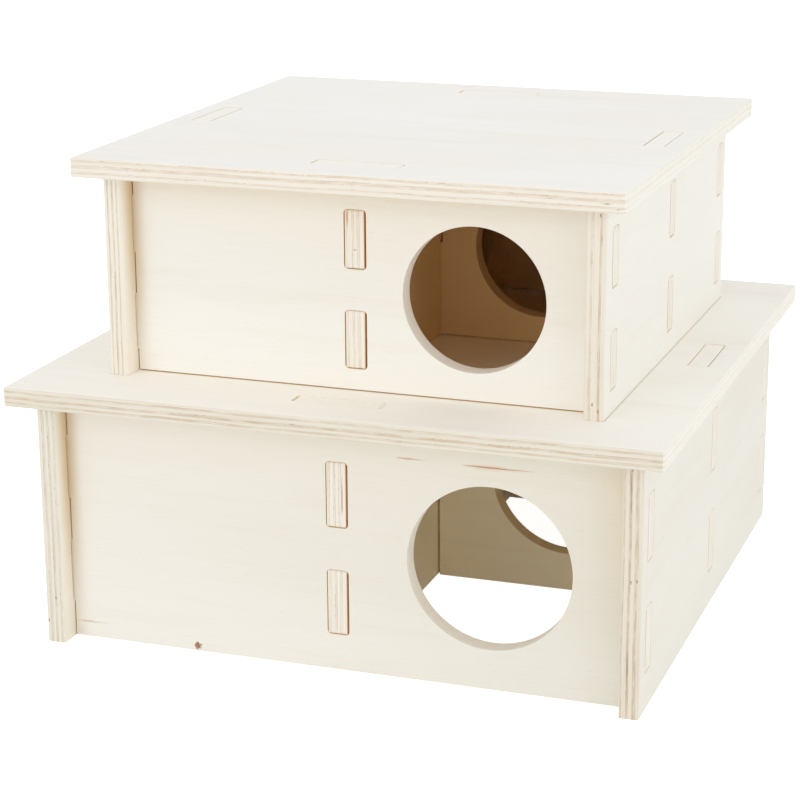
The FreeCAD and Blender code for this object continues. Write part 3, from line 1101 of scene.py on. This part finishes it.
def lower_finishes() -> dict[str, PlywoodFinish]:
    """The finish of each board of the lower house."""
    knot = tone(150, 92, 52)
    streak = tone(196, 140, 96)
    # painted light: the inner faces and inner bores here are paler than the upper house's, for its brighter
    # chambers
    wood = PlywoodFinish(inner=tone(253, 247, 231), inner_warm=tone(251, 242, 221), inner_reach=112.0)
    tab, inner_board = panel_woods(wood, 116.5, tone(248, 232, 204), tone(236, 212, 176))
    front_marks = (
        Mark((-61.5, -53.0, 4.0), (2.0, 2.0, 1.5), knot, 0.9),
        Mark((30.0, 36.4, 4.0), (7.0, 0.45, 1.5), streak, 0.6, 0.4),
        Mark((64.0, 36.1, 4.0), (17.0, 1.3, 1.5), tone(232, 206, 176), 0.5, 0.4),
        Mark((64.0, 36.1, 4.0), (16.0, 0.38, 1.5), tone(176, 112, 76), 0.75, 0.3),
        Mark((-110.0, -48.6, 4.0), (8.0, 0.5, 1.5), streak, 0.4, 0.5),
    )
    front_light_and_shade = (
        *tab.shades,
        # painted light near the top, under the roof's overhang
        Shade(tone(249, 246, 238), 0.25, up=(20.0, 42.0)),
        # painted light, lighter towards the bottom
        Shade(tone(247, 245, 240), 0.3, up=(-15.0, -45.0)),
        # painted shade in the corner beside the left wall
        Shade(tone(210, 184, 138), 0.7, along=(-110.0, -117.5), up=(-48.0, 20.0), up_least=0.3),
        # painted shade beside the right wall
        Shade(tone(238, 220, 190), 0.4, along=(98.0, 117.0), up=(-40.0, 35.0), up_least=0.2),
    )
    divider_streak = Mark((-116.5, 22.7, 2.5), (1.2, 11.0, 0.35), tone(176, 118, 82), 0.75, 0.4)
    return {
        "roof": replace(
            wood,
            face=tone(250, 248, 242),
            face_warm=tone(248, 245, 237),
            plies=(DarkPly(0.24, 0.05, 0.8), DarkPly(0.50, 0.06, 1.0), DarkPly(0.80, 0.05, 0.8)),
            ply_light=tone(234, 228, 213),
            ply_dark=tone(208, 189, 160),
            slot_wall=tone(252, 244, 230),
            # painted shade inside the upper house; the warm inner tone below is also the tone of that
            # painted shade
            house_shade_stand=UPPER_STAND,
            inner_warm=tone(242, 230, 206),
            seed=1.3,
        ),
        "left_wall": replace(
            wood,
            seed=12.9,
            ply_light=tone(236, 231, 218),
            ply_dark=tone(213, 201, 179),
            marks=pits((125.0, -46.0, 3.0), (125.0, -35.9, -0.6)),
            # painted shade in the corner beside the front panel
            shades=(wall_front_shade(125.5, 117.0, -48.0, 25.0),),
        ),
        "right_wall": replace(
            wood,
            seed=23.1,
            face=tone(236, 233, 224),
            face_warm=tone(234, 230, 220),
            ply_light=tone(234, 226, 210),
            ply_dark=tone(193, 172, 140),
            glue=tone(150, 120, 84),
            slot_wall=tone(250, 244, 232),
            plies=(DarkPly(0.10, 0.03, 0.7), DarkPly(0.40, 0.055, 1.0), DarkPly(0.72, 0.07, 0.8)),
            marks=(
                *pits((-125.0, 0.2, -0.1), (-125.0, 0.8, 2.2), (-125.0, 44.4, -0.4)),
                Mark((-125.0, 36.0, -0.8), (1.5, 9.0, 0.35), tone(150, 120, 84), 0.7, 0.5),
                Mark((-125.0, -36.0, -0.8), (1.5, 10.0, 0.35), tone(150, 120, 84), 0.7, 0.5),
            ),
        ),
        "front_panel": replace(
            tab,
            seed=34.7,
            marks=front_marks,
            shades=front_light_and_shade,
            face=tone(243, 240, 232),
            face_warm=tone(241, 237, 228),
            # painted shade towards the panel's right end
            far_end_shade=tone(231, 227, 213),
        ),
        "back_panel": replace(tab, seed=45.2),
        "middle_panel": replace(inner_board, seed=56.8),
        "divider": replace(inner_board, seed=67.4, marks=(divider_streak,), shades=(divider_tab_shade(112.0),)),
    }


def upper_finishes() -> dict[str, PlywoodFinish]:
    """The finish of each board of the upper house."""
    # painted shade: the inner faces and inner bores here are darker and warmer than the lower house's, for
    # the deeper shade in its chambers
    wood = PlywoodFinish(inner=tone(237, 211, 161), inner_warm=tone(231, 203, 149), inner_reach=90.0)
    tab, inner_board = panel_woods(wood, 94.5, tone(228, 202, 158), tone(216, 188, 142))
    front_light_and_shade = (
        *tab.shades,
        # painted light near the top, under the roof's overhang
        Shade(tone(250, 248, 242), 0.5, up=(12.0, 32.0)),
        # painted reflection of light from the lower roof, lighter towards the bottom
        Shade(tone(250, 248, 242), 0.6, up=(2.0, -38.0)),
        # painted shade in the corner beside the left wall
        Shade(tone(212, 186, 140), 0.6, along=(-88.0, -95.5), up=(-44.0, 5.0), up_least=0.3),
    )
    divider_marks = (
        Mark((-94.5, 28.3, -2.9), (1.2, 4.0, 0.5), tone(206, 132, 88), 0.7, 0.4),
        Mark((-94.5, 15.8, 0.2), (1.2, 0.35, 0.9), tone(160, 130, 100), 0.6, 0.3),
    )
    roof_marks = (
        Mark((105.0, -112.5, -0.5), (2.4, 1.2, 0.4), tone(160, 144, 112), 0.6, 0.5),
        Mark((109.4, -112.5, -2.4), (1.0, 1.0, 0.3), tone(176, 160, 128), 0.5, 0.5),
        Mark((112.3, -112.5, -3.2), (0.8, 0.8, 0.3), tone(170, 156, 126), 0.5, 0.5),
    )
    return {
        "roof": replace(
            wood,
            face=tone(248, 247, 243),
            face_warm=tone(247, 244, 238),
            plies=(DarkPly(0.26, 0.04, 0.8), DarkPly(0.58, 0.07, 0.9), DarkPly(0.86, 0.04, 0.8)),
            ply_light=tone(242, 236, 223),
            ply_dark=tone(221, 203, 180),
            glue=tone(184, 152, 118),
            slot_wall=tone(252, 244, 230),
            marks=roof_marks,
            seed=101.3,
        ),
        "left_wall": replace(
            wood,
            seed=112.9,
            ply_light=tone(242, 236, 222),
            ply_dark=tone(214, 196, 170),
            glue=tone(150, 122, 88),
            glue_strength=0.8,
            plies=(DarkPly(0.30, 0.03, 0.8), DarkPly(0.53, 0.035, 1.0), DarkPly(0.78, 0.03, 0.9)),
            # painted shade in the corner beside the front panel
            shades=(wall_front_shade(103.5, 95.0, -44.0, 20.0),),
        ),
        "right_wall": replace(
            wood,
            seed=123.1,
            face=tone(243, 241, 234),
            face_warm=tone(241, 238, 230),
            ply_light=tone(237, 230, 216),
            ply_dark=tone(207, 187, 158),
            slot_wall=tone(250, 244, 232),
            plies=(DarkPly(0.28, 0.05, 0.6), DarkPly(0.72, 0.05, 1.0)),
            marks=pits((-103.0, 34.0, 1.5), (-103.0, -38.7, -0.5), (-103.0, -41.2, 1.8)),
        ),
        "front_panel": replace(
            tab,
            seed=134.7,
            shades=front_light_and_shade,
            face=tone(243, 242, 236),
            face_warm=tone(242, 240, 233),
            # painted shade towards the panel's right end
            far_end_shade=tone(239, 234, 222),
        ),
        "back_panel": replace(tab, seed=145.2),
        "middle_panel": replace(inner_board, seed=156.8),
        "divider": replace(inner_board, seed=167.4, marks=divider_marks, shades=(divider_tab_shade(90.0),)),
    }


@dataclass(frozen=True)
class PhotoCamera:
    """The camera: its place, its turns in radians and its lens."""

    place: Triple = (0.3095, -0.9170, 0.3675)
    yaw: float = 0.3393
    pitch: float = 0.2884
    roll: float = 0.0061
    lens: float = 104.31
    sensor: float = 36.0

    def set_up(self) -> None:
        """Make the camera and give it to the scene."""
        level = math.cos(self.pitch)
        ahead = (-math.sin(self.yaw) * level, math.cos(self.yaw) * level, -math.sin(self.pitch))
        forward = Vector(ahead)
        right = Vector((math.cos(self.yaw), math.sin(self.yaw), 0.0))
        down = forward.cross(right)
        across = math.cos(self.roll) * right + math.sin(self.roll) * down
        upward = math.sin(self.roll) * right - math.cos(self.roll) * down
        data = bpy.data.cameras.new("camera")
        data.lens = self.lens
        data.sensor_width = self.sensor
        camera = bpy.data.objects.new("camera", data)
        bpy.context.scene.collection.objects.link(camera)
        turn = Matrix((across, upward, -forward)).transposed().to_4x4()
        camera.matrix_world = Matrix.Translation(self.place) @ turn
        bpy.context.scene.camera = camera


@dataclass(frozen=True)
class Studio:
    """White floor, white surroundings and two large soft lamps."""

    ambient: float = 0.87
    key_power: float = 7.5
    fill_power: float = 8.0
    key_place: Triple = (-1.0, -2.0, 1.1)
    fill_place: Triple = (2.2, -1.0, 0.7)
    aim: Triple = (0.0, 0.0, 0.1)
    lamp_size: float = 1.6
    floor_size: float = 8.0
    floor_tone: float = 0.9
    floor_glow: float = 0.92
    bounces: int = 12

    def floor(self) -> None:
        """Lay the floor; it looks white and still darkens a little under the object."""
        deselect()
        bpy.ops.mesh.primitive_plane_add(size=self.floor_size, location=(0, 0, 0))
        floor = bpy.context.active_object
        floor.name = "floor"
        material = new_material("white_floor")
        sheet = Sheet(material.node_tree)
        path = sheet.add("ShaderNodeLightPath").outputs
        seen = sheet.math("ADD", path["Is Camera Ray"], path["Is Glossy Ray"])
        seen = sheet.math("ADD", seen, path["Is Transmission Ray"], clamp=True)
        glow = sheet.add("ShaderNodeEmission", {"Color": WHITE, "Strength": self.floor_glow})
        matt = sheet.add("ShaderNodeBsdfDiffuse", {"Color": (*(self.floor_tone,) * 3, 1.0)})
        both = sheet.add("ShaderNodeAddShader", {0: glow.outputs[0], 1: matt.outputs[0]})
        shown = sheet.add("ShaderNodeMixShader", {0: seen, 1: matt.outputs[0], 2: both.outputs[0]})
        sheet.add("ShaderNodeOutputMaterial", {"Surface": shown.outputs[0]})
        floor.data.materials.append(material)

    def surroundings(self) -> None:
        """Light the scene evenly from all round and show white where nothing stands."""
        world = bpy.data.worlds.new("studio")
        bpy.context.scene.world = world
        world.use_nodes = True
        sheet = Sheet(world.node_tree)
        path = sheet.add("ShaderNodeLightPath").outputs
        seen = sheet.math("MAXIMUM", path["Is Camera Ray"], path["Is Glossy Ray"])
        seen = sheet.math("MAXIMUM", seen, path["Is Transmission Ray"])
        inputs = {"Factor": seen, 2: self.ambient, 3: 1.0}
        strength = sheet.add("ShaderNodeMix", inputs, data_type="FLOAT").outputs[0]
        background = sheet.add("ShaderNodeBackground", {"Color": WHITE, "Strength": strength})
        sheet.add("ShaderNodeOutputWorld", {"Surface": background.outputs[0]})

    def lamp(self, name: str, power: float, place: Triple) -> None:
        """Hang one soft round lamp that looks at the object.

        Args:
            name: Its name.
            power: Its power in watts.
            place: Where it hangs.
        """
        data = bpy.data.lights.new(name, "AREA")
        data.shape = "DISK"
        data.size = self.lamp_size
        data.energy = power
        lamp = bpy.data.objects.new(name, data)
        bpy.context.scene.collection.objects.link(lamp)
        lamp.location = place
        lamp.rotation_euler = (Vector(self.aim) - lamp.location).to_track_quat("-Z", "Y").to_euler()

    def set_up(self) -> None:
        """Make the floor, the surroundings and the lamps."""
        self.floor()
        self.surroundings()
        self.lamp("front_left_lamp", self.key_power, self.key_place)
        self.lamp("right_lamp", self.fill_power, self.fill_place)
        bpy.context.scene.cycles.diffuse_bounces = self.bounces


def main() -> None:
    """Build both houses, the studio and the camera."""
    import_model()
    logging.basicConfig(level=logging.INFO, format="%(message)s")
    bpy.context.scene.view_settings.view_transform = "Standard"
    lower_bodies = (Body.LOWER_HOUSE, Body.LOWER_LID)
    upper_bodies = (Body.UPPER_HOUSE, Body.UPPER_LID)
    houses = (
        House("lower", LOWER_SIZES, Stand(), *lower_bodies, OpenEnd.BELOW, lower_finishes()),
        House("upper", UPPER_SIZES, UPPER_STAND, *upper_bodies, OpenEnd.ABOVE, upper_finishes()),
    )
    for house in houses:
        house.build()
    Studio().set_up()
    PhotoCamera().set_up()


if __name__ == "__main__":
    main()
